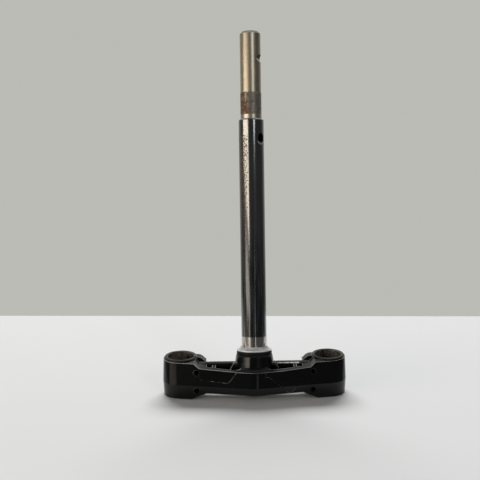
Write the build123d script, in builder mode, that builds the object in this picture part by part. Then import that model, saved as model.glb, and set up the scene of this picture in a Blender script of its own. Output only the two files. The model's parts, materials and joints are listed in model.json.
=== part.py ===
import os
from math import asin, atan2, cos, degrees, radians, sin, tan

from build123d import *

# Lower fork bracket of a motorcycle with its steering stem, in millimetres.
# It stands on the two clamp collars, with the fork axes along +Z.
# The origin is midway between the fork axes, on the plane of the collars' lower faces.
# +Y is the front of the machine, so the stem stands behind the fork axes and leans forward.

# Fork clamps
fork_spacing = 183.0
fork_bore = 33.0
bore_chamfer = 0.6
clamp_height = 49.0
clamp_wall = 6.2
collar_step = 1.2
collar_rise = 2.5
collar_edge = 1.0

# Pinch bolts and the slit that they close
bolt_size = 8.0
tap_drill = 6.8
bolt_clearance = 0.25
bolt_bite = 0.75
lug_bottom = 0.5
lug_radius = 11.5
lug_foot_run = 18.0
jaw_depth = 13.0
slit_width = 2.5
spot_diameter = 17.0
spot_depth = 1.5

# Bridge between the clamps
draft = 2.5
parting_share = 0.375
bridge_bottom = 9.0
bridge_top = 38.5
nose_margin = 1.9
bottom_edge = 1.5

# Arm tops, which rise outward and then ramp up to the near jaws
rise_gap = 6.5
arm_rise = 2.4
ramp_gap = 3.2
ramp_run = 6.0

# Left arm: panel set back above a ledge, deepest beside the hub
panel_start = 10.0
panel_depth = 3.0
panel_fade = -2.4
panel_slant = 18.0
panel_low = 24.2
panel_high = 26.8
panel_length = 54.0
panel_corner = 3.0

# Right arm: relief down to the underside, between the hub's flank and the parting line
vee_start = 8.6
vee_depth = 1.6
vee_fade = -1.6
vee_shoulder = 32.5
vee_flank = 4.0
vee_foot = 28.0
vee_notch = 3.0
vee_bend = 9.0
vee_length = 55.0

# Trough in the top of each arm, with its cross rib, between the near wall and the spine
near_wall = 9.0
spine_width = 8.5
spine_top = 41.5
spine_edge = 1.5
trough_floor = 9.0
trough_corner = 1.5
trough_end_gap = 1.0
rib_gap = 7.0
rib_width = 4.0

# Hub that holds the stem
stem_setback = 17.55
stem_lean = 10.0
hub_height = 53.2
hub_top_diameter = 45.0
hub_flare = 2.0
hub_taper = 13.2
hub_bevel = 2.5

# Gusset at each side of the hub
gusset_length = 5.0
gusset_rise = 7.5
gusset_width = 4.0
gusset_behind = 4.0

# Dust seal and lower bearing race
seal_diameter = 43.6
seal_height = 3.7
race_diameter = 43.0
race_lip_diameter = 32.6
race_height = 6.6
race_rim = 3.0
race_hollow = 0.6

# Steering stem, measured along its axis
stem_recess = 0.8
foot_chamfer = 1.0
seat_diameter = 31.0
seat_length = 12.4
tube_diameter = 30.8
tube_length = 267.0
tube_chamfer = 2.0
shoulder_diameter = 26.0
shoulder_length = 5.0
thread_diameter = 26.0
thread_length = 27.0
thread_edge = 0.5
grip_diameter = 25.4
grip_length = 74.4
grip_chamfer = 3.0
tube_bore = 22.0
grip_bore = 16.0
bore_taper = 12.0

# Clamp-bolt groove at the top of the stem, and the hole for the steering lock
groove_radius = 5.0
groove_depth = 3.0
groove_drop = 33.4
groove_turn = -15.0
lock_width = 10.0
lock_height = 12.4
lock_drop = 24.5
lock_turn = -40.0

# Places that follow from the sizes above
fork_x = fork_spacing / 2
fork_radius = fork_bore / 2
clamp_radius = fork_radius + clamp_wall
bolt_hole = bolt_size + 2 * bolt_clearance
bolt_x = fork_x - fork_radius + bolt_bite - bolt_hole / 2
parting_height = parting_share * clamp_height
lug_top = clamp_height - collar_rise
bolt_height = (lug_top + lug_bottom) / 2
bolt_pitch = lug_top - lug_bottom - 2 * lug_radius
collar_radius = clamp_radius - (lug_top - parting_height) * tan(radians(draft)) - collar_step
lug_x = bolt_x - lug_radius
near_jaw = -slit_width / 2
steer_foot = Vector(0, -stem_setback, 0)
steer_up = Vector(0, sin(radians(stem_lean)), cos(radians(stem_lean)))
steer_back = Vector(0, cos(radians(stem_lean)), -sin(radians(stem_lean)))
steer_axis = Axis(steer_foot, steer_up)
nose_y = -stem_setback + parting_height * tan(radians(stem_lean))
seat_radius = seat_diameter / 2
stem_foot = bridge_bottom / cos(radians(stem_lean)) + seat_radius * tan(radians(stem_lean)) + stem_recess
seal_top = hub_height + seal_height
race_top = seal_top + race_height
seat_top = race_top + seat_length
tube_top = seat_top + tube_length
shoulder_top = tube_top + shoulder_length
thread_top = shoulder_top + thread_length
race_waist = (race_diameter + race_lip_diameter) / 4
stem_top = thread_top + grip_length
hub_base_radius = hub_top_diameter / 2 + hub_flare
hub_base_height = hub_height - hub_taper
nose_radius = hub_base_radius + nose_margin
rise_start = hub_base_radius + rise_gap
gusset_reach = hub_base_radius + gusset_length
nose_to_fork = Vector(fork_x, -nose_y)
arm_taper = degrees(asin((nose_radius - clamp_radius) / nose_to_fork.length))
arm_sweep = degrees(atan2(nose_to_fork.Y, nose_to_fork.X)) + arm_taper
arm_along = Vector(cos(radians(arm_sweep)), sin(radians(arm_sweep)))
arm_inward = Vector(-sin(radians(arm_sweep)), cos(radians(arm_sweep)))
arm_face = Vector(0, nose_y) - arm_inward * nose_radius
trough_start = arm_face + arm_inward * near_wall
arm_top = bridge_top + arm_rise
ramp_foot = bolt_x - ramp_gap
trough_end = lug_x - trough_end_gap
rib_place = trough_end - rib_gap - rib_width / 2
reach = 4 * clamp_height
same_place = 0.05


def steer_plane(turn):
    """Plane through the steering axis: local X points out of it, local Y runs up it."""
    out = Vector(1, 0, 0) * cos(radians(turn)) + steer_back * sin(radians(turn))
    return Plane(steer_foot, x_dir=out, z_dir=out.cross(steer_up))


def arm_plane(start, depth, fade):
    """Upright plane set back in the near face of the right arm: local X runs outward along it."""
    place = arm_face + arm_along * start + arm_inward * depth
    return Plane(place, x_dir=arm_along.rotate(Axis.Z, fade), z_dir=-arm_inward.rotate(Axis.Z, fade))


def lock_plane(turn, height):
    """Plane square to a radius of the stem, at a height along it."""
    out = Vector(1, 0, 0) * cos(radians(turn)) + steer_back * sin(radians(turn))
    return Plane(steer_foot + steer_up * height, x_dir=steer_up, z_dir=out)


# Hub around the stem, trimmed level with the underside of the bridge
with BuildPart() as stem_hub:
    with BuildSketch(steer_plane(0)) as hub_section:
        with BuildLine():
            Polyline(
                (0, 0),
                (hub_base_radius, 0),
                (hub_base_radius, hub_base_height),
                (hub_top_diameter / 2, hub_height),
                (0, hub_height),
                close=True,
            )
        make_face()
    revolve(axis=steer_axis)
    split(bisect_by=Plane.XY.offset(bridge_bottom), keep=Keep.TOP)

# Bracket: plan outline with draft both ways from the parting plane
with BuildPart() as fork_bracket:
    for end in (clamp_height, 0):
        for level in (parting_height, end):
            shrink = abs(level - parting_height) * tan(radians(draft))
            with BuildSketch(Plane.XY.offset(level)):
                with Locations((-fork_x, 0), (fork_x, 0)):
                    Circle(clamp_radius - shrink)
                with Locations((0, nose_y)):
                    Circle(nose_radius - shrink)
                make_hull()
        loft(ruled=True)

    # Front limit of the jaws, and of the arms between them
    with BuildSketch(Plane.XY) as front:
        with Locations((0, jaw_depth)):
            Rectangle(reach, reach, align=(Align.CENTER, Align.MIN))
        with Locations((0, near_jaw)):
            Rectangle(2 * lug_x, reach, align=(Align.CENTER, Align.MIN))
    extrude(amount=clamp_height, mode=Mode.SUBTRACT)

    # Front profile: level underside, and lugs about the pinch bolts that slope up to it
    with BuildSketch(Plane.XZ) as profile:
        with Locations((0, bridge_bottom)):
            Rectangle(2 * fork_x, arm_top - bridge_bottom, align=(Align.CENTER, Align.MIN))
        with Locations((-bolt_x, bolt_height), (bolt_x, bolt_height)):
            SlotCenterToCenter(bolt_pitch, 2 * lug_radius, rotation=90)
        for side in (-1, 1):
            with Locations((side * (bolt_x + reach / 2), bolt_height)):
                Rectangle(reach, bolt_pitch + 2 * lug_radius)
            with BuildLine():
                Polyline(
                    (side * lug_x, lug_bottom),
                    (side * lug_x, bridge_bottom),
                    (side * (lug_x + lug_foot_run), lug_bottom),
                    close=True,
                )
            make_face(mode=Mode.SUBTRACT)
    extrude(amount=reach, both=True, mode=Mode.INTERSECT)
    under_edges = fork_bracket.edges().filter_by(lambda e: abs(e.center().Z - bridge_bottom) < same_place)
    near_edges = under_edges.filter_by(Axis.Y, reverse=True).filter_by(lambda e: e.center().Y < near_jaw)
    chamfer(near_edges, bottom_edge)

    # Tops of the near wall and of the near jaws
    with BuildSketch(Plane.XZ.offset(-near_jaw)) as near_top:
        with BuildLine():
            Polyline(
                (0, bridge_top),
                (rise_start, bridge_top),
                (ramp_foot, arm_top),
                (ramp_foot + ramp_run, lug_top),
                (ramp_foot + ramp_run, clamp_height),
                (0, clamp_height),
                close=True,
            )
        make_face()
        mirror(about=Plane.YZ)
    extrude(amount=reach, mode=Mode.SUBTRACT)

    # Panel of the left arm, drawn on the right and mirrored
    with BuildSketch(arm_plane(panel_start, panel_depth, panel_fade)) as panel:
        with BuildLine():
            Polyline(
                (0, clamp_height),
                (panel_slant, panel_low),
                (panel_length, panel_high),
                (panel_length, clamp_height),
                close=True,
            )
        make_face()
        fillet(panel.vertices().sort_by(Axis.Y)[:2], panel_corner)
    panel_cut = extrude(amount=reach, mode=Mode.PRIVATE)
    mirror(panel_cut, about=Plane.YZ, mode=Mode.SUBTRACT)

    # Relief of the right arm
    with BuildSketch(arm_plane(vee_start, vee_depth, vee_fade)) as relief:
        with BuildLine():
            Polyline(
                (0, clamp_height),
                (0, vee_shoulder),
                (vee_flank, vee_shoulder),
                (vee_foot, bridge_bottom + bottom_edge),
                (vee_foot + vee_notch, bridge_bottom + bottom_edge),
                (vee_foot + vee_bend, parting_height - vee_notch),
                (vee_length, parting_height),
                (vee_length, clamp_height),
                close=True,
            )
        make_face()
    extrude(amount=reach, mode=Mode.SUBTRACT)

    # Trough between the near wall and the spine, crossed by a rib
    with BuildSketch(Plane.XY.offset(arm_top)) as trough:
        with Locations((0, near_jaw - spine_width / 2)):
            Rectangle(trough_end, reach, align=(Align.MIN, Align.MAX))
        with Locations(trough_start):
            Rectangle(
                reach,
                reach,
                rotation=arm_sweep,
                align=(Align.CENTER, Align.MAX),
                mode=Mode.SUBTRACT,
            )
        with Locations((rib_place, 0)):
            Rectangle(rib_width, reach, mode=Mode.SUBTRACT)
        fillet(trough.vertices(), trough_corner)
    trough_depth = arm_top - bridge_bottom - trough_floor
    trough_cut = extrude(amount=-trough_depth, taper=draft, mode=Mode.SUBTRACT)
    mirror(trough_cut, about=Plane.YZ, mode=Mode.SUBTRACT)

    # Spine along the far side of the arms, from jaw to jaw
    with BuildSketch(Plane.YZ) as spine:
        with Locations((near_jaw, bridge_bottom)):
            Rectangle(spine_width, spine_top - bridge_bottom, align=(Align.MAX, Align.MIN))
        fillet(spine.vertices().group_by(Axis.Z)[-1], spine_edge)
    extrude(amount=bolt_x, both=True)

    # Hub, bevelled into the top of the near wall
    add(stem_hub.part)
    hub_foot = fork_bracket.edges().filter_by(GeomType.ELLIPSE)
    chamfer(hub_foot.filter_by(lambda e: abs(e.center().Z - bridge_top) < same_place), hub_bevel)

    # Gusset from each side of the hub down to the near wall
    with BuildSketch(Plane.XZ.offset(stem_setback + gusset_behind)) as gusset:
        with BuildLine():
            Polyline(
                (0, bridge_top - gusset_width),
                (gusset_reach, bridge_top - gusset_width),
                (gusset_reach, bridge_top),
                (gusset_reach - gusset_width, bridge_top + gusset_rise),
                (0, bridge_top + gusset_rise),
                close=True,
            )
        make_face()
        mirror(about=Plane.YZ)
    extrude(amount=-gusset_width)

    # Collar of each clamp, proud of the jaws at both ends
    with BuildSketch(Plane.XY) as collars:
        with Locations((-fork_x, 0), (fork_x, 0)):
            Circle(collar_radius)
    extrude(amount=clamp_height)
    rims = fork_bracket.edges().filter_by(GeomType.CIRCLE)
    chamfer(rims.filter_by(lambda e: e.center().Z > clamp_height - collar_edge), collar_edge)

    # Bores
    with BuildSketch(Plane.XY) as fork_bores:
        with Locations((-fork_x, 0), (fork_x, 0)):
            Circle(fork_radius)
    extrude(amount=clamp_height, mode=Mode.SUBTRACT)
    bore_ends = fork_bracket.edges().filter_by(GeomType.CIRCLE)
    chamfer(bore_ends.filter_by(lambda e: abs(e.radius - fork_radius) < same_place), bore_chamfer)
    with BuildSketch(steer_plane(0)) as stem_bore:
        Rectangle(seat_radius, reach, align=(Align.MIN, Align.CENTER))
    revolve(axis=steer_axis, mode=Mode.SUBTRACT)

    # Slit from each bore out through the lug
    with BuildSketch(Plane.XY) as slits:
        for side in (-1, 1):
            with Locations((side * (lug_x + fork_x) / 2, 0)):
                Rectangle(fork_x - lug_x, slit_width)
    extrude(amount=clamp_height, mode=Mode.SUBTRACT)

    # Pinch-bolt holes: tapped in the near jaw, clear in the far jaw with a spot face
    bolt_places = [(side * bolt_x, bolt_height + bolt_pitch / 2 * up) for side in (-1, 1) for up in (-1, 1)]
    with BuildSketch(Plane.XZ) as tapped_holes:
        with Locations(*bolt_places):
            Circle(tap_drill / 2)
    extrude(amount=reach, mode=Mode.SUBTRACT)
    with BuildSketch(Plane.XZ) as clear_holes:
        with Locations(*bolt_places):
            Circle(bolt_hole / 2)
    extrude(amount=-jaw_depth, mode=Mode.SUBTRACT)
    with BuildSketch(Plane.XZ.offset(spot_depth - jaw_depth)) as spot_faces:
        with Locations(*bolt_places):
            Circle(spot_diameter / 2)
    extrude(amount=-reach, mode=Mode.SUBTRACT)

fork_bracket.part.label = "fork_bracket"

# Stem: one turned tube, with the clamp-bolt groove and the lock hole cut in it
with BuildPart() as steering_stem:
    with BuildSketch(steer_plane(0)) as stem_section:
        with BuildLine():
            Polyline(
                (tube_bore / 2, stem_foot),
                (seat_radius - foot_chamfer, stem_foot),
                (seat_radius, stem_foot + foot_chamfer),
                (seat_radius, seat_top),
                (tube_diameter / 2, seat_top),
                (tube_diameter / 2, tube_top - tube_chamfer),
                (tube_diameter / 2 - tube_chamfer, tube_top),
                (shoulder_diameter / 2, tube_top),
                (shoulder_diameter / 2, shoulder_top),
                (thread_diameter / 2 - thread_edge, shoulder_top),
                (thread_diameter / 2, shoulder_top + thread_edge),
                (thread_diameter / 2, thread_top - thread_edge),
                (grip_diameter / 2, thread_top),
                (grip_diameter / 2, stem_top - grip_chamfer),
                (grip_diameter / 2 - grip_chamfer, stem_top),
                (grip_bore / 2, stem_top),
                (grip_bore / 2, tube_top),
                (tube_bore / 2, tube_top - bore_taper),
                close=True,
            )
        make_face()
    revolve(axis=steer_axis)
    with BuildSketch(steer_plane(groove_turn)) as groove:
        with Locations((grip_diameter / 2 - groove_depth + groove_radius, stem_top - groove_drop)):
            Circle(groove_radius)
    extrude(amount=grip_diameter, both=True, mode=Mode.SUBTRACT)
    with BuildSketch(lock_plane(lock_turn, tube_top - lock_drop)) as lock_hole:
        SlotOverall(lock_height, lock_width)
    extrude(amount=tube_diameter, mode=Mode.SUBTRACT)
steering_stem.part.label = "steering_stem"

# Race: pressed on the seat, with a hollow cone for the balls
with BuildPart() as lower_bearing_race:
    with BuildSketch(steer_plane(0)) as race_section:
        with BuildLine():
            Polyline(
                (seat_radius, seal_top),
                (race_diameter / 2, seal_top),
                (race_diameter / 2, seal_top + race_rim),
                (race_waist, seal_top + race_rim + race_hollow),
                (race_lip_diameter / 2, race_top),
                (seat_radius, race_top),
                close=True,
            )
        make_face()
    revolve(axis=steer_axis)
lower_bearing_race.part.label = "lower_bearing_race"

# Seal: rubber ring between the hub and the race
with BuildPart() as dust_seal:
    with BuildSketch(steer_plane(0)) as seal_section:
        with BuildLine():
            Polyline(
                (seat_radius, hub_height),
                (seal_diameter / 2, hub_height),
                (seal_diameter / 2, seal_top),
                (seat_radius, seal_top),
                close=True,
            )
        make_face()
    revolve(axis=steer_axis)
dust_seal.part.label = "dust_seal"

os.makedirs("parts", exist_ok=True)
export_step(fork_bracket.part, "parts/fork_bracket.step")
export_step(steering_stem.part, "parts/steering_stem.step")
export_step(lower_bearing_race.part, "parts/lower_bearing_race.step")
export_step(dust_seal.part, "parts/dust_seal.step")
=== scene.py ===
import json
import math

import bmesh
import bpy
from mathutils import Matrix, Vector


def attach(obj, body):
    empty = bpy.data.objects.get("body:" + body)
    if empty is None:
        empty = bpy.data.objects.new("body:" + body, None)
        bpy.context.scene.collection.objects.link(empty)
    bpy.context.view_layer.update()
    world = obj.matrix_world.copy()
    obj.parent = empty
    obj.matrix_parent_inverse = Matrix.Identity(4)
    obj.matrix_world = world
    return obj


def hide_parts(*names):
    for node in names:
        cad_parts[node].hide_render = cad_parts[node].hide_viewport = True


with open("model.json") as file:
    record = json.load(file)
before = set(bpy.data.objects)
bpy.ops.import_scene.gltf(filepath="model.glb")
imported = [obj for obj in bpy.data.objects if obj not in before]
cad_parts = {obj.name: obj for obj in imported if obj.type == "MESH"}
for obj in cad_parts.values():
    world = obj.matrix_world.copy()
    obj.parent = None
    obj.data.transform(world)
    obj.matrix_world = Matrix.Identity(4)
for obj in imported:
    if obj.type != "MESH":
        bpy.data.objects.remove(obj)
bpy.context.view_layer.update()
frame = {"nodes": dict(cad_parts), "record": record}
nodes = frame["nodes"]
mounts = {mount["name"]: mount for mount in frame["record"]["mounts"]}
mm = 0.001
weldReach = 0.001 * mm
print("frame loaded:", sorted(nodes))

# the steering axis, read from the handlebar seat: distances run along it from the level of the table
steerUp = Vector(mounts["handlebar_seat"]["axis"]).normalized()
steerFoot = Vector(mounts["handlebar_seat"]["pos_m"])
steerFoot -= steerUp * (steerFoot.z / steerUp.z)
steerBack = Vector((0, steerUp.z, -steerUp.y))
forkX = mounts["right_fork_clamp"]["pos_m"][0] / mm
forkRadius = mounts["right_fork_clamp"]["dims"]["r_mm"]
boltHoles = mounts["pinch_bolt_threads"]["dims"]
boltX = boltHoles["spacing_x_mm"] / 2
boltPitch = boltHoles["spacing_y_mm"]
boltRadius = boltHoles["hole_r_mm"]
boltHeight = mounts["pinch_bolt_threads"]["pos_m"][2] / mm


def steerDistance(place):
    return (Vector(place) - steerFoot).dot(steerUp) / mm


class Wire:
    # one output of a shader tree: arithmetic on it adds Math nodes
    def __init__(self, tree, out=None):
        self.tree = tree
        self.out = out

    def node(self, kind, settings=None, sockets=None, out=0):
        # settings go in first, then the values or wires of the sockets
        made = self.tree.nodes.new("ShaderNode" + kind)
        for name, value in (settings or {}).items():
            setattr(made, name, value)
        for name, value in (sockets or {}).items():
            if isinstance(value, Wire):
                self.tree.links.new(value.out, made.inputs[name])
            else:
                made.inputs[name].default_value = value
        return Wire(self.tree, made.outputs[out])

    def maths(self, operation, a, b=0.0):
        return self.node("Math", {"operation": operation}, {0: a, 1: b})

    def __add__(self, other):
        return self.maths("ADD", self, other)

    def __sub__(self, other):
        return self.maths("SUBTRACT", self, other)

    def __rsub__(self, other):
        return self.maths("SUBTRACT", other, self)

    def __mul__(self, other):
        return self.maths("MULTIPLY", self, other)

    def __truediv__(self, other):
        return self.maths("DIVIDE", self, other)

    __radd__ = __add__

    def __abs__(self):
        return self.maths("ABSOLUTE", self)

    def aboveZero(self):
        return self.maths("MAXIMUM", self)

    def hypot(self, other):
        return self.maths("SQRT", self * self + other * other)

    def rise(self, low, high):
        # 0 below low, 1 above high, smooth between them
        bounds = {"Value": self, "From Min": low, "From Max": high}
        return self.node("MapRange", {"interpolation_type": "SMOOTHSTEP"}, bounds)

    def dot(self, direction):
        return self.node("VectorMath", {"operation": "DOT_PRODUCT"}, {0: self, 1: direction}, "Value")

    def noise(self, scale, detail):
        return self.node("TexNoise", None, {"Vector": self, "Scale": scale, "Detail": detail})

    def blend(self, a, b):
        # colour a where this wire is 0, colour b where it is 1
        ends = [end if isinstance(end, Wire) else (*end, 1) for end in (a, b)]
        return self.node("Mix", {"data_type": "RGBA"}, {0: self, 6: ends[0], 7: ends[1]}, 2)

    def bump(self, strength, distance):
        return self.node("Bump", None, {"Strength": strength, "Distance": distance, "Height": self})


def newMaterial(name):
    made = bpy.data.materials.new(name)
    made.use_nodes = True
    made.node_tree.nodes.clear()
    wire = Wire(made.node_tree)
    return made, wire, wire.node("TexCoord", out="Object")


def finishMaterial(made, wire, sockets):
    shader = wire.node("BsdfPrincipled", None, sockets)
    output = made.node_tree.nodes.new("ShaderNodeOutputMaterial")
    made.node_tree.links.new(shader.out, output.inputs["Surface"])
    return made


def fromFoot(place, direction):
    # millimetres from the steering axis's foot along a direction, as a wire
    return (place.dot(direction) - steerFoot.dot(direction)) / mm


def dress(piece, material):
    piece.data.materials.clear()
    piece.data.materials.append(material)


def axisPoint(distance, radius, turn):
    out = Vector((math.cos(turn), 0, 0)) + steerBack * math.sin(turn)
    return steerFoot + (steerUp * distance + out * radius) * mm


def addRing(mesh, distance, radius, segments):
    return [mesh.verts.new(axisPoint(distance, radius, math.tau * k / segments)) for k in range(segments)]


def joinRings(mesh, low, high):
    for k in range(len(low)):
        after = (k + 1) % len(low)
        mesh.faces.new((low[k], low[after], high[after], high[k]))


def addLathe(mesh, profile, segments, closed):
    rings = [addRing(mesh, distance, radius, segments) for distance, radius in profile]
    for low, high in zip(rings, rings[1:]):
        joinRings(mesh, low, high)
    if closed:
        joinRings(mesh, rings[-1], rings[0])


def makePiece(name, mesh):
    bmesh.ops.remove_doubles(mesh, verts=mesh.verts, dist=weldReach)
    # closes the sliver left where the thread's last turn fades out
    bmesh.ops.holes_fill(mesh, edges=[edge for edge in mesh.edges if edge.is_boundary], sides=4)
    data = bpy.data.meshes.new(name)
    mesh.to_mesh(data)
    mesh.free()
    piece = bpy.data.objects.new(name, data)
    bpy.context.scene.collection.objects.link(piece)
    return piece


def smoothShade(piece, angle):
    piece.data.shade_smooth()
    piece.data.set_sharp_from_angle(angle=math.radians(angle))


# Steering stem: a turned tube with a cut thread, a groove for the clamp bolt and an oblong lock hole
stemLook = {
    "segments": 96,
    "seatRadius": 15.5,
    "seatLength": 12.4,
    "footDrop": 50.83,
    "footChamfer": 1.0,
    "tubeRadius": 15.4,
    "tubeLength": 267.0,
    "tubeChamfer": 2.0,
    "tubeRings": 12,
    "shoulderRadius": 13.0,
    "shoulderLength": 5.0,
    "threadRadius": 13.0,
    "threadDepth": 0.61,
    "threadPitch": 1.0,
    "threadLength": 27.0,
    "threadProfile": (0.0, 0.5, 1.0, 1.0, 1.0, 0.5),
    "gripRadius": 12.7,
    "gripLength": 74.4,
    "gripChamfer": 3.0,
    "tubeBore": 11.0,
    "gripBore": 8.0,
    "boreTaper": 12.0,
    "grooveRadius": 5.0,
    "grooveDepth": 3.0,
    "grooveDrop": 33.4,
    "grooveTurn": -15.0,
    "lockWidth": 10.0,
    "lockHeight": 12.4,
    "lockDrop": 24.5,
    "lockTurn": -40.0,
    "grooveSegments": 48,
    "grooveRings": (1.5, 0.5),
    "lockSegments": 40,
    "sharpAngle": 32,
    "lipWidth": 1.2,
    "lipSoft": 0.5,
    "lipDrops": (3, 4.5),
    "lipSide": (0, 2),
    "dirtMargins": (0.05, 0.25),
    "dirtRises": (-1, 1),
    "softEdge": 0.2,
    "finishDrops": (1.4, 0.9),
    "rubbedDrops": (150, 40),
    "cleanDrops": (25, 14),
    "wornRises": (50, 150),
    "wornReach": 60,
    "tubeRustSide": (-7, 1),
    "threadRustSide": (-10, 2),
    "crestRises": (0.2, 0.5),
    "drawnShare": 0.04,
    "grainScale": 1400,
    "streakScale": 420,
    "cloudScale": 70,
    "speckScale": 480,
    "fineScale": 820,
    "rustScale": 230,
    "raggedScale": 400,
    "raggedReach": 1.2,
    "polish": 0.13,
    "bright": ((0.56, 0.53, 0.49), (0.45, 0.41, 0.37)),
    "aged": ((0.45, 0.385, 0.285), (0.57, 0.495, 0.38)),
    "pitted": ((0.36, 0.325, 0.265), (0.56, 0.51, 0.43)),
    "reddish": ((0.30, 0.22, 0.14), (0.32, 0.13, 0.07)),
    "worn": ((0.165, 0.162, 0.157), (0.22, 0.216, 0.208)),
    "clean": ((0.07, 0.07, 0.07), (0.21, 0.213, 0.21)),
    "chipped": ((0.16, 0.11, 0.07), (0.09, 0.05, 0.03)),
    "dirt": (0.03, 0.028, 0.025),
}
seatMount = mounts["handlebar_seat"]
stemTop = steerDistance(seatMount["pos_m"]) + seatMount["dims"]["length_mm"] / 2 + stemLook["gripChamfer"]
threadTop = stemTop - stemLook["gripLength"]
shoulderTop = threadTop - stemLook["threadLength"]
tubeTop = shoulderTop - stemLook["shoulderLength"]
seatTop = tubeTop - stemLook["tubeLength"]
raceTop = seatTop - stemLook["seatLength"]


def addThread(mesh, look, start, end):
    # rows follow the helix, and the turns fade into the root at both ends
    segments = look["segments"]
    root = look["threadRadius"] - look["threadDepth"]
    shape = look["threadProfile"]
    turns = round((end - start) / look["threadPitch"])
    rows = []
    for row in range(-len(shape), turns * len(shape) + 1):
        ring = []
        for k in range(segments):
            along = look["threadPitch"] * (row / len(shape) + k / segments)
            distance = min(max(start + along, start), end)
            fade = min((distance - start) / look["threadPitch"], (end - distance) / look["threadPitch"], 1)
            radius = root + look["threadDepth"] * shape[row % len(shape)] * fade
            ring.append(mesh.verts.new(axisPoint(distance, radius, math.tau * k / segments)))
        rows.append(ring)
    for row in range(len(rows) - 1):
        for k in range(segments - 1):
            mesh.faces.new((rows[row][k], rows[row][k + 1], rows[row + 1][k + 1], rows[row + 1][k]))
        wrapped = row + len(shape)
        if wrapped + 1 < len(rows):
            mesh.faces.new((rows[row][-1], rows[wrapped][0], rows[wrapped + 1][0], rows[row + 1][-1]))


def addGroove(look):
    turn = math.radians(look["grooveTurn"])
    reach = look["gripRadius"] - look["grooveDepth"] + look["grooveRadius"]
    middle = axisPoint(stemTop - look["grooveDrop"], reach, turn)
    across = (axisPoint(0, 1, turn) - steerFoot).cross(steerUp)
    mesh = bmesh.new()
    bmesh.ops.create_cone(
        mesh,
        cap_ends=True,
        segments=look["grooveSegments"],
        radius1=look["grooveRadius"] * mm,
        radius2=look["grooveRadius"] * mm,
        depth=4 * look["gripRadius"] * mm,
        matrix=Matrix.Translation(middle) @ across.to_track_quat("Z", "Y").to_matrix().to_4x4(),
    )
    return makePiece("grooveCutter", mesh)


def addLockHole(look):
    turn = math.radians(look["lockTurn"])
    out = (axisPoint(0, 1, turn) - steerFoot).normalized()
    across = steerUp.cross(out)
    middle = axisPoint(tubeTop - look["lockDrop"], 0, 0)
    rounding = look["lockWidth"] / 2
    half = look["lockHeight"] / 2 - rounding
    mesh = bmesh.new()
    ends = []
    for depth in (0, 2 * look["tubeRadius"]):
        ring = []
        for k in range(look["lockSegments"]):
            swing = math.tau * k / look["lockSegments"]
            shift = half if math.cos(swing) > 0 else -half
            spot = steerUp * (rounding * math.cos(swing) + shift) + across * rounding * math.sin(swing)
            ring.append(mesh.verts.new(middle + (spot + out * depth) * mm))
        ends.append(ring)
    joinRings(mesh, ends[0], ends[1])
    mesh.faces.new(list(reversed(ends[0])))
    mesh.faces.new(ends[1])
    bmesh.ops.recalc_face_normals(mesh, faces=mesh.faces)
    return makePiece("lockCutter", mesh)


def cutAway(piece, cutters):
    for cutter in cutters:
        cut = piece.modifiers.new(cutter.name, "BOOLEAN")
        cut.operation = "DIFFERENCE"
        cut.solver = "EXACT"
        cut.object = cutter
    shape = piece.evaluated_get(bpy.context.evaluated_depsgraph_get())
    piece.data = bpy.data.meshes.new_from_object(shape)
    piece.modifiers.clear()
    for cutter in cutters:
        bpy.data.objects.remove(cutter)


def makeStem(look):
    foot = raceTop - look["footDrop"]
    root = look["threadRadius"] - look["threadDepth"]
    tubeEnd = tubeTop - look["tubeChamfer"]
    step = (tubeEnd - seatTop) / look["tubeRings"]
    mesh = bmesh.new()
    lower = [(foot, look["tubeBore"]), (foot, look["seatRadius"] - look["footChamfer"])]
    lower += [(foot + look["footChamfer"], look["seatRadius"]), (seatTop, look["seatRadius"])]
    lower += [(seatTop + step * k, look["tubeRadius"]) for k in range(look["tubeRings"] + 1)]
    lower += [(tubeTop, look["tubeRadius"] - look["tubeChamfer"]), (tubeTop, look["shoulderRadius"])]
    lower += [(shoulderTop, look["shoulderRadius"]), (shoulderTop, root)]
    addLathe(mesh, lower, look["segments"], False)
    addThread(mesh, look, shoulderTop, threadTop)
    upper = [(threadTop, root), (threadTop, look["gripRadius"])]
    # rings below and above the groove keep its cut clean
    upper += [(stemTop - look["grooveDrop"] * share, look["gripRadius"]) for share in look["grooveRings"]]
    upper += [(stemTop - look["gripChamfer"], look["gripRadius"])]
    upper += [(stemTop, look["gripRadius"] - look["gripChamfer"]), (stemTop, look["gripBore"])]
    upper += [(tubeTop, look["gripBore"]), (tubeTop - look["boreTaper"], look["tubeBore"])]
    upper += [(foot, look["tubeBore"])]
    addLathe(mesh, upper, look["segments"], False)
    stem = makePiece("turnedStem", mesh)
    cutAway(stem, [addGroove(look), addLockHole(look)])
    smoothShade(stem, look["sharpAngle"])
    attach(stem, "root")
    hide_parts("steering_stem")
    return stem


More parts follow.
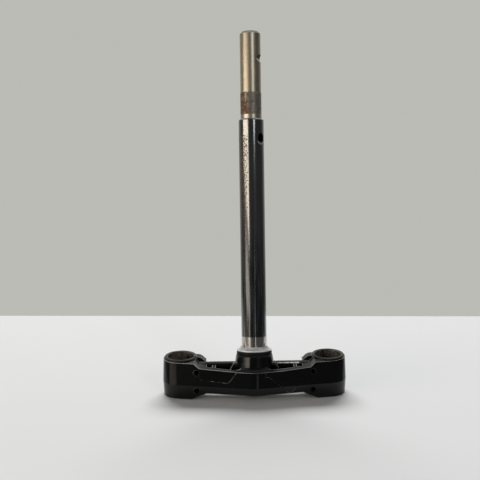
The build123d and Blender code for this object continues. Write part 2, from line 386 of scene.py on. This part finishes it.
def stemMaterial(look):
    made, wire, place = newMaterial("stemSteel")
    distance = fromFoot(place, steerUp)
    side = place.dot((1, 0, 0)) / mm
    back = fromFoot(place, steerBack)
    along = distance * (mm * look["drawnShare"])
    drawn = wire.node("CombineXYZ", None, {0: side * mm, 1: back * mm, 2: along})
    grain = drawn.noise(look["grainScale"], 4)
    streak = drawn.noise(look["streakScale"], 3)
    cloud = place.noise(look["cloudScale"], 3)
    speck = place.noise(look["speckScale"], 3)
    fine = place.noise(look["fineScale"], 3)
    ragged = distance + (place.noise(look["raggedScale"], 3) - 0.5) * look["raggedReach"]
    soft = look["softEdge"]

    # black finish of the tube, clean at its top, rusted through in fine specks on the left below that
    finishEnd = [tubeTop - drop for drop in look["finishDrops"]]
    rubbedStart = [tubeTop - drop for drop in look["rubbedDrops"]]
    cleanStart = [tubeTop - drop for drop in look["cleanDrops"]]
    tube = ragged.rise(seatTop - soft, seatTop + soft) * (1 - ragged.rise(*finishEnd))
    rubbed = distance.rise(*rubbedStart) * (1 - ragged.rise(*cleanStart))
    chips = tube * (fine + rubbed * 0.13 - side.rise(*look["tubeRustSide"]) * 0.3).rise(0.62, 0.68)

    # thread rusted on the left, its crests rubbed bright elsewhere
    thread = ragged.rise(shoulderTop - soft, shoulderTop + 2 * soft)
    thread = thread * (1 - ragged.rise(threadTop - 2 * soft, threadTop + soft))
    grip = distance.rise(threadTop - soft / 2, threadTop + soft / 2)
    shoulder = distance.rise(tubeTop - soft / 2, tubeTop + soft / 2) * (1 - grip)
    rust = place.noise(look["rustScale"], 3) - side.rise(*look["threadRustSide"]) * 0.22
    rust = thread * rust.rise(0.36, 0.5)
    root = look["threadRadius"] - look["threadDepth"]
    crestStart = [root + rise for rise in look["crestRises"]]
    crest = thread * side.hypot(back).rise(*crestStart) * (1 - rust)

    # painted highlight on the lip under the lock hole, in the bright steel colour
    rounding = look["lockWidth"] / 2
    lipEdge = rounding + look["lipWidth"]
    lockAcross = (axisPoint(0, 1, math.radians(look["lockTurn"] + 90)) - steerFoot) / mm
    fromLock = tubeTop - look["lockDrop"] - distance
    beside = fromFoot(place, lockAcross)
    below = (fromLock - look["lockHeight"] / 2 + rounding).aboveZero()
    lip = 1 - beside.hypot(below).rise(lipEdge, lipEdge + look["lipSoft"])
    lip = lip * fromLock.rise(*look["lipDrops"]) * side.rise(*look["lipSide"])

    # painted shade in the upper half of the clamp groove: darker, rougher and less metallic there
    grooveOut = (axisPoint(0, 1, math.radians(look["grooveTurn"])) - steerFoot) / mm
    reach = look["gripRadius"] - look["grooveDepth"] + look["grooveRadius"]
    outward = fromFoot(place, grooveOut) - reach
    above = distance - (stemTop - look["grooveDrop"])
    shadeEnd = [look["grooveRadius"] + margin for margin in look["dirtMargins"]]
    grooveShade = (1 - outward.hypot(above).rise(*shadeEnd)) * above.rise(*look["dirtRises"])

    bright = cloud.rise(0.3, 0.75).blend(*look["bright"])
    aged = grain.rise(0.3, 0.7).blend(*look["aged"])
    pitted = fine.rise(0.4, 0.62).blend(*look["pitted"])
    reddish = fine.rise(0.42, 0.6).blend(*look["reddish"])
    worn = streak.rise(0.3, 0.7).blend(*look["worn"])
    clean = streak.rise(0.42, 0.62).blend(*look["clean"])
    # the tube's finish is paler higher up and darker towards its foot
    wornStart = [seatTop + rise for rise in look["wornRises"]]
    finish = (distance + (cloud - 0.5) * look["wornReach"]).rise(*wornStart).blend(clean, worn)
    colour = (grip + shoulder * 0.7).blend(bright, aged)
    colour = thread.blend(colour, pitted)
    colour = (crest * 0.6).blend(colour, bright)
    colour = rust.blend(colour, reddish)
    colour = tube.blend(colour, finish)
    colour = chips.blend(colour, speck.rise(0.6, 0.75).blend(*look["chipped"]))
    colour = lip.blend(colour, bright)
    colour = grooveShade.blend(colour, look["dirt"])
    roughness = look["polish"] + grip * 0.24 + thread * 0.08 + shoulder * 0.22 + rust * 0.2
    roughness = roughness + chips * 0.4 + lip * 0.35 + grooveShade * 0.4 + (grain - 0.5) * 0.08
    sockets = {
        "Base Color": colour,
        "Metallic": 1 - thread * 0.1 - rust * 0.5 - chips * 0.7 - grooveShade * 0.9 - lip * 0.8,
        "Roughness": roughness,
        "Normal": (grain * 0.4 + speck * (chips + thread * 0.2)).bump(0.25, 0.15 * mm),
    }
    return finishMaterial(made, wire, sockets)


stem = makeStem(stemLook)
dress(stem, stemMaterial(stemLook))
print("stem turned:", len(stem.data.polygons), "faces")

# Lower bearing race: a pressed ring with a hollow cone for the balls
raceLook = {
    "segments": 96,
    "sharpAngle": 25,
    "boreRadius": 15.5,
    "radius": 21.5,
    "height": 6.6,
    "rim": 3.0,
    "edge": 0.5,
    "lipRadius": 16.3,
    "hollow": 0.9,
    "coneSteps": 8,
    "rimRises": (-0.2, 0.6),
    "grimeHeight": 1.2,
    "grimeSoft": 0.5,
    "grimeReach": 0.8,
    "ringScale": 9000,
    "stainScale": 160,
    "metal": 0.45,
    "polish": 0.32,
    "coneSteel": ((0.68, 0.675, 0.66), (0.50, 0.475, 0.44)),
    "rimSteel": ((0.95, 0.94, 0.92), (0.74, 0.71, 0.67)),
    "grime": (0.012, 0.0115, 0.011),
}
raceFoot = raceTop - raceLook["height"]


def makeRace(look):
    rim = raceFoot + look["rim"]
    profile = [(raceFoot, look["boreRadius"]), (raceFoot, look["radius"] - look["edge"])]
    profile += [(raceFoot + look["edge"], look["radius"]), (rim - look["edge"], look["radius"])]
    cone = Vector((raceTop - rim, look["lipRadius"] - look["radius"] + look["edge"]))
    inward = Vector((cone.y, -cone.x)).normalized()
    for k in range(look["coneSteps"] + 1):
        share = k / look["coneSteps"]
        spot = cone * share + inward * look["hollow"] * 4 * share * (1 - share)
        profile.append((rim + spot.x, look["radius"] - look["edge"] + spot.y))
    profile.append((raceTop, look["boreRadius"]))
    mesh = bmesh.new()
    addLathe(mesh, profile, look["segments"], True)
    race = makePiece("conedRace", mesh)
    smoothShade(race, look["sharpAngle"])
    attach(race, "root")
    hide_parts("lower_bearing_race")
    return race


def raceMaterial(look):
    made, wire, place = newMaterial("raceSteel")
    distance = fromFoot(place, steerUp)
    rings = wire.node("CombineXYZ", None, {0: distance * mm}).noise(look["ringScale"], 3)
    stain = place.noise(look["stainScale"], 4)
    dull = stain.rise(0.45, 0.7)

    # the rim painted brighter than the greyer cone as a painted highlight, and a near-black band around
    # the race's foot
    rimEnd = [raceFoot + look["rim"] + rise for rise in look["rimRises"]]
    darkFootTop = raceFoot + look["grimeHeight"]
    rim = 1 - distance.rise(*rimEnd)
    ragged = distance + (stain - 0.5) * look["grimeReach"]
    grime = 1 - ragged.rise(darkFootTop, darkFootTop + look["grimeSoft"])
    steel = rim.blend(dull.blend(*look["coneSteel"]), dull.blend(*look["rimSteel"]))
    sockets = {
        "Base Color": grime.blend(steel, look["grime"]),
        "Metallic": look["metal"] - grime * look["metal"],
        "Roughness": look["polish"] + dull * 0.15 + grime * 0.15 + (rings - 0.5) * 0.15,
        "Normal": rings.bump(0.2, 0.05 * mm),
    }
    return finishMaterial(made, wire, sockets)


race = makeRace(raceLook)
dress(race, raceMaterial(raceLook))

# Dust seal: a rubber ring with two lips
sealLook = {
    "segments": 96,
    "sharpAngle": 25,
    "boreRadius": 15.5,
    "radius": 21.8,
    "height": 3.7,
    "lip": 1.1,
    "waist": 0.7,
    "edge": 0.3,
    "slope": 0.4,
    "dustScale": 300,
    "roughness": 0.42,
    "gloss": 0.2,
    "rubber": ((0.004, 0.004, 0.004), (0.012, 0.011, 0.01)),
}


def makeSeal(look):
    foot = raceFoot - look["height"]
    rim = look["radius"]
    waist = rim - look["waist"]
    outer = [(foot, rim - look["edge"]), (foot + look["edge"], rim), (foot + look["lip"], rim)]
    outer += [(foot + look["lip"] + look["slope"], waist), (raceFoot - look["lip"] - look["slope"], waist)]
    outer += [(raceFoot - look["lip"], rim), (raceFoot, rim - look["edge"])]
    profile = [(foot, look["boreRadius"]), *outer, (raceFoot, look["boreRadius"])]
    mesh = bmesh.new()
    addLathe(mesh, profile, look["segments"], True)
    seal = makePiece("lippedSeal", mesh)
    smoothShade(seal, look["sharpAngle"])
    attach(seal, "root")
    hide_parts("dust_seal")
    return seal


def sealMaterial(look):
    made, wire, place = newMaterial("sealRubber")
    dust = place.noise(look["dustScale"], 4)
    sockets = {
        "Base Color": dust.rise(0.4, 0.75).blend(*look["rubber"]),
        "Roughness": look["roughness"] + dust * 0.2,
        "Specular IOR Level": look["gloss"],
        "Normal": dust.bump(0.3, 0.1 * mm),
    }
    return finishMaterial(made, wire, sockets)


seal = makeSeal(sealLook)
dress(seal, sealMaterial(sealLook))
print("race and seal made")


# Bracket: gloss black over a rough casting, pale along its edges with wear and painted edge highlights,
# and dusty on its clamps
bracketLook = {
    "edgeReach": 1.1,
    "edgeSamples": 8,
    "boreMargin": 0.4,
    "holeMargins": (0.2, 0.5),
    "sparedSide": (-6, 0),
    "partingHeight": 18.4,
    "bridgeTop": 38.5,
    "topDrops": (3, 1),
    "spineTop": 41.5,
    "hubReach": 31.0,
    "hubSoft": 2.0,
    "crown": 0.21,
    "castScale": 420,
    "castHeight": 0.03,
    "cloudScale": 60,
    "fleckScale": 800,
    "scuffDrops": (1.7, 1.5),
    "scuffStart": (26, 30),
    "scuffEnd": (54, 58),
    "dustStart": (58, 68),
    "dustShare": 0.36,
    "polish": 0.14,
    "gloss": 0.27,
    "paint": ((0.002, 0.002, 0.0024), (0.0035, 0.0035, 0.004)),
    "dust": (0.19, 0.185, 0.175),
    "wear": (0.55, 0.53, 0.50),
    "scuff": (0.92, 0.91, 0.88),
    "scraped": (0.34, 0.31, 0.27),
    "hole": (0.001, 0.001, 0.001),
}


def bracketMaterial(look):
    made, wire, place = newMaterial("blackPaint")
    aside = place.dot((1, 0, 0)) / mm
    deep = place.dot((0, 1, 0)) / mm
    height = place.dot((0, 0, 1)) / mm
    fromMiddle = abs(aside)
    normal = wire.node("NewGeometry", out="Normal")
    upward = normal.dot((0, 0, 1))
    facing = normal.dot((0, -1, 0))
    cast = place.noise(look["castScale"], 2)
    cloud = place.noise(look["cloudScale"], 3)
    fleck = place.noise(look["fleckScale"], 3)

    # fork bores scraped bare in patches, and painted shade darkens the bolt holes
    across = fromMiddle - forkX
    boreEnd = forkRadius + look["boreMargin"]
    bore = 1 - across.hypot(deep).rise(boreEnd, boreEnd + look["boreMargin"])
    scraped = bore * (cloud * 0.5 + fleck * 0.7).rise(0.5, 0.75)
    fromBoltX = fromMiddle - boltX
    fromBoltZ = abs(height - boltHeight) - boltPitch / 2
    holeEnd = [boltRadius + margin for margin in look["holeMargins"]]
    hole = 1 - fromBoltX.hypot(fromBoltZ).rise(*holeEnd)

    # edges pale in patches, partly worn and partly painted edge highlights; painted shade keeps them
    # darker on the right of the near side
    inside = {"inside": True, "samples": look["edgeSamples"]}
    edge = wire.node("AmbientOcclusion", inside, {"Distance": look["edgeReach"] * mm}, "AO")
    top = height.rise(*[look["bridgeTop"] - drop for drop in look["topDrops"]])
    patchy = (cloud * 0.6 + fleck * 0.9 + top * 0.4).rise(0.7, 0.9)
    shadedRight = aside.rise(*look["sparedSide"]) * facing.rise(0.1, 0.4) * 0.75
    wear = (1 - edge).rise(0.2, 0.42) * patchy * (1 - hole) * (1 - shadedRight)

    # painted glint with pale scuffs along the spine's near edge on the right
    scuffFoot = [look["spineTop"] - drop for drop in look["scuffDrops"]]
    scuff = upward.rise(0.1, 0.2) * (1 - upward.rise(0.93, 0.98)) * facing.rise(0.1, 0.2)
    scuff = scuff * height.rise(*scuffFoot) * cast.rise(0.41, 0.45)
    scuff = scuff * aside.rise(*look["scuffStart"]) * (1 - aside.rise(*look["scuffEnd"]))

    # flat tops are duller, and those of the clamps dusty
    flat = upward.rise(0.75, 0.95)
    dust = upward.rise(0.55, 0.95) * cloud.rise(0.25, 0.7)
    dust = dust * fromMiddle.rise(*look["dustStart"]) * look["dustShare"]

    # above the parting line the faces lean back, save on the hub
    atHub = 1 - fromMiddle.rise(look["hubReach"], look["hubReach"] + look["hubSoft"])
    leaning = height - (height - look["bridgeTop"]).aboveZero() * atHub
    crown = (leaning - look["partingHeight"]).aboveZero() * (look["crown"] * mm)
    rough = (cast + fleck * 0.3) * (look["castHeight"] * mm)

    colour = dust.blend(cloud.blend(*look["paint"]), look["dust"])
    colour = wear.blend(colour, look["wear"])
    colour = scuff.blend(colour, look["scuff"])
    colour = scraped.blend(colour, look["scraped"])
    colour = hole.blend(colour, look["hole"])
    roughness = look["polish"] + (cast - 0.5) * 0.12
    roughness = roughness + dust * 0.3 + wear * 0.25 + hole * 0.5 + flat * 0.3
    sockets = {
        "Base Color": colour,
        "Metallic": scraped * 0.8,
        "Roughness": roughness,
        "Specular IOR Level": look["gloss"],
        "Normal": (rough - crown).bump(1, 1),
    }
    return finishMaterial(made, wire, sockets)


dress(nodes["fork_bracket"], bracketMaterial(bracketLook))
print("bracket painted")

# Table under the part: its far edge runs level across the picture, and the room's pale wall is beyond it
tableLook = {
    "colour": (0.80, 0.80, 0.795),
    "mottle": 0.97,
    "mottleScale": 3,
    "roughness": 0.55,
    "farEdge": 0.3363,
    "skew": -0.054,
    "leftEdge": -0.6,
    "rightEdge": 0.42,
    "nearEdge": -0.45,
}


def makeTable(look):
    data = bpy.data.meshes.new("tableTop")
    corners = []
    for x in (look["leftEdge"], look["rightEdge"]):
        corners += [(x, look["nearEdge"], 0), (x, look["farEdge"] + look["skew"] * x, 0)]
    data.from_pydata(corners, [], [(0, 2, 3, 1)])
    table = bpy.data.objects.new("tableTop", data)
    bpy.context.scene.collection.objects.link(table)
    made, wire, place = newMaterial("tableWhite")
    darker = [look["mottle"] * channel for channel in look["colour"]]
    tone = place.noise(look["mottleScale"], 2).blend(darker, look["colour"])
    dress(table, finishMaterial(made, wire, {"Base Color": tone, "Roughness": look["roughness"]}))


makeTable(tableLook)

# Room: a pale wall for what is seen or mirrored, darker to the front right, and plain light for the rest
roomLook = {
    "wall": (0.50, 0.50, 0.465),
    "front": (0.165, 0.16, 0.15),
    "dark": (0.08, 0.084, 0.088),
    "ceiling": (0.45, 0.46, 0.46),
    "fill": 0.12,
    "darkRight": (-0.5, -0.2),
    "wallAhead": (0.15, 0.9),
    "ceilingAbove": (0.55, 0.75),
}


def makeRoom(look):
    world = bpy.data.worlds.new("room")
    bpy.context.scene.world = world
    world.use_nodes = True
    tree = world.node_tree
    tree.nodes.clear()
    wire = Wire(tree)
    ray = wire.node("TexCoord", out="Generated")
    near = ray.dot((1, 0, 0)).rise(*look["darkRight"]).blend(look["front"], look["dark"])
    seen = ray.dot((0, 1, 0)).rise(*look["wallAhead"]).blend(near, look["wall"])
    seen = ray.dot((0, 0, 1)).rise(*look["ceilingAbove"]).blend(seen, look["ceiling"])
    direct = wire.node("LightPath", out="Is Camera Ray")
    mirrored = wire.node("LightPath", out="Is Glossy Ray")
    light = mirrored.blend([look["fill"]] * 3, seen)
    sky = wire.node("Background", None, {"Color": direct.blend(light, look["wall"])})
    output = tree.nodes.new("ShaderNodeOutputWorld")
    tree.links.new(sky.out, output.inputs["Surface"])


makeRoom(roomLook)

# Lights, by their turn and tilt from the part: a warm window and a low door to the left of the camera,
# a cool strip and a narrow gap to its right, and a large lamp overhead at the back
lightAim = Vector((0, 0, 0.2))
windowLook = {
    "turn": -57,
    "tilt": 13,
    "away": 2.5,
    "width": 2.3,
    "height": 0.5,
    "power": 16,
    "colour": (1, 0.9, 0.76),
}
stripLook = {
    "turn": 27,
    "tilt": 26.5,
    "away": 2.5,
    "width": 0.55,
    "height": 0.8,
    "power": 6.5,
    "colour": (0.9, 0.97, 1),
}
doorLook = {
    "turn": -55,
    "tilt": -0.5,
    "away": 2.5,
    "width": 1.8,
    "height": 0.36,
    "power": 2.2,
    "colour": (1, 0.92, 0.84),
}
gapLook = {
    "turn": 13,
    "tilt": 1,
    "away": 2.5,
    "width": 0.16,
    "height": 0.3,
    "power": 0.25,
    "colour": (0.95, 0.98, 1),
}
overheadLook = {
    "turn": 180,
    "tilt": 48,
    "away": 4.5,
    "width": 4.2,
    "height": 2.2,
    "power": 250,
    "colour": (0.98, 0.99, 1),
}


def makeLight(name, look):
    data = bpy.data.lights.new(name, "AREA")
    data.shape = "RECTANGLE"
    data.size = look["width"]
    data.size_y = look["height"]
    data.energy = look["power"]
    data.color = look["colour"]
    light = bpy.data.objects.new(name, data)
    bpy.context.scene.collection.objects.link(light)
    turn = math.radians(look["turn"])
    tilt = math.radians(look["tilt"])
    toward = Vector((math.sin(turn) * math.cos(tilt), -math.cos(turn) * math.cos(tilt), math.sin(tilt)))
    facing = toward.to_track_quat("Z", "Y").to_matrix().to_4x4()
    light.matrix_world = Matrix.Translation(lightAim + toward * look["away"]) @ facing
    return light


makeLight("window", windowLook)
makeLight("strip", stripLook)
makeLight("door", doorLook)
makeLight("gap", gapLook)
makeLight("overhead", overheadLook).visible_glossy = False  # lights the part, but is not mirrored in it

# Camera: behind the machine, looking a little down
cameraLook = {
    "place": (-0.018, -1.0706, 0.4132),
    "pitch": -11.53,
    "yaw": -0.12,
    "roll": -0.78,
    "lens": 67.5,
    "nearest": 0.01,
}


def makeCamera(look):
    data = bpy.data.cameras.new("camera")
    data.lens = look["lens"]
    data.clip_start = look["nearest"]
    camera = bpy.data.objects.new("camera", data)
    bpy.context.scene.collection.objects.link(camera)
    turn = Matrix.Rotation(math.radians(look["yaw"]), 4, "Z")
    tip = Matrix.Rotation(math.radians(90 + look["pitch"]), 4, "X")
    roll = Matrix.Rotation(math.radians(look["roll"]), 4, "Z")
    camera.matrix_world = Matrix.Translation(look["place"]) @ turn @ tip @ roll
    bpy.context.scene.camera = camera


makeCamera(cameraLook)
bpy.context.scene.view_settings.view_transform = "Standard"
print("table, lights and camera set")
